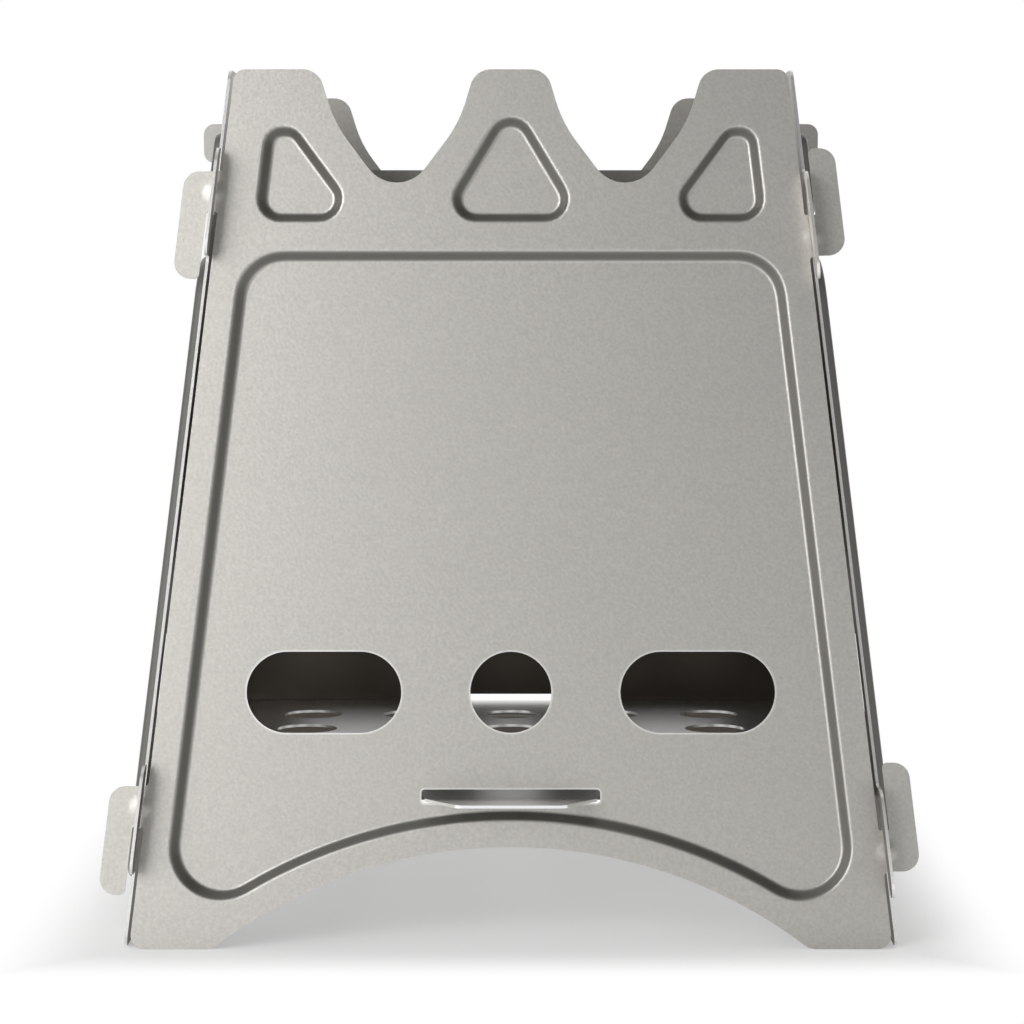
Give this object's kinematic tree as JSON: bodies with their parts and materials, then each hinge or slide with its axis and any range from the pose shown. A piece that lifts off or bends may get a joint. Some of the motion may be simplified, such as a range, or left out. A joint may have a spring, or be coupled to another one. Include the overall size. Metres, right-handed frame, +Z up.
{
  "type": "folding camping stove",
  "caption": "Folding wood-burning camp stove: four embossed sheet panels hooked at the corners, a perforated floor plate and cross bars that carry a pan.",
  "frame": {"origin": "middle of the footprint, on the ground", "axes": "+Z up, +X to the right and +Y to the back, seen from the front panel"},
  "size_m": [0.1407, 0.1412, 0.1497],
  "materials": {
    "panel_sheet": "bead-blasted titanium",
    "plate_sheet": "satin titanium",
    "bar_sheet": "satin titanium"
  },
  "bodies": {
    "front": {"front_panel": "panel_sheet", "floor_plate": "plate_sheet"},
    "left": {"left_panel": "panel_sheet"},
    "right": {"right_panel": "panel_sheet"},
    "back": {"back_panel": "panel_sheet"},
    "near_bar": {"near_cross_bar": "bar_sheet"},
    "far_bar": {"far_cross_bar": "bar_sheet"}
  },
  "joints": [
    {"name": "left_hinge", "type": "hinge", "parent": "front", "child": "left", "pos_m": [-0.06585, -0.06585, 0], "axis": [0.1153, 0.1153, 0.9866], "range_deg": [0, 50]},
    {"name": "back_hinge", "type": "hinge", "parent": "left", "child": "back", "pos_m": [-0.06585, 0.06585, 0], "axis": [0.1153, -0.1153, 0.9866], "range_deg": [0, 50]},
    {"name": "right_hinge", "type": "hinge", "parent": "front", "child": "right", "pos_m": [0.06585, -0.06585, 0], "axis": [0.1153, -0.1153, -0.9866], "range_deg": [0, 50]},
    {"name": "near_bar_lift", "type": "slide", "parent": "front", "child": "near_bar", "axis": [0, 0, 1], "range_m": [0, 0.03]},
    {"name": "far_bar_lift", "type": "slide", "parent": "front", "child": "far_bar", "axis": [0, 0, 1], "range_m": [0, 0.03]}
  ]
}
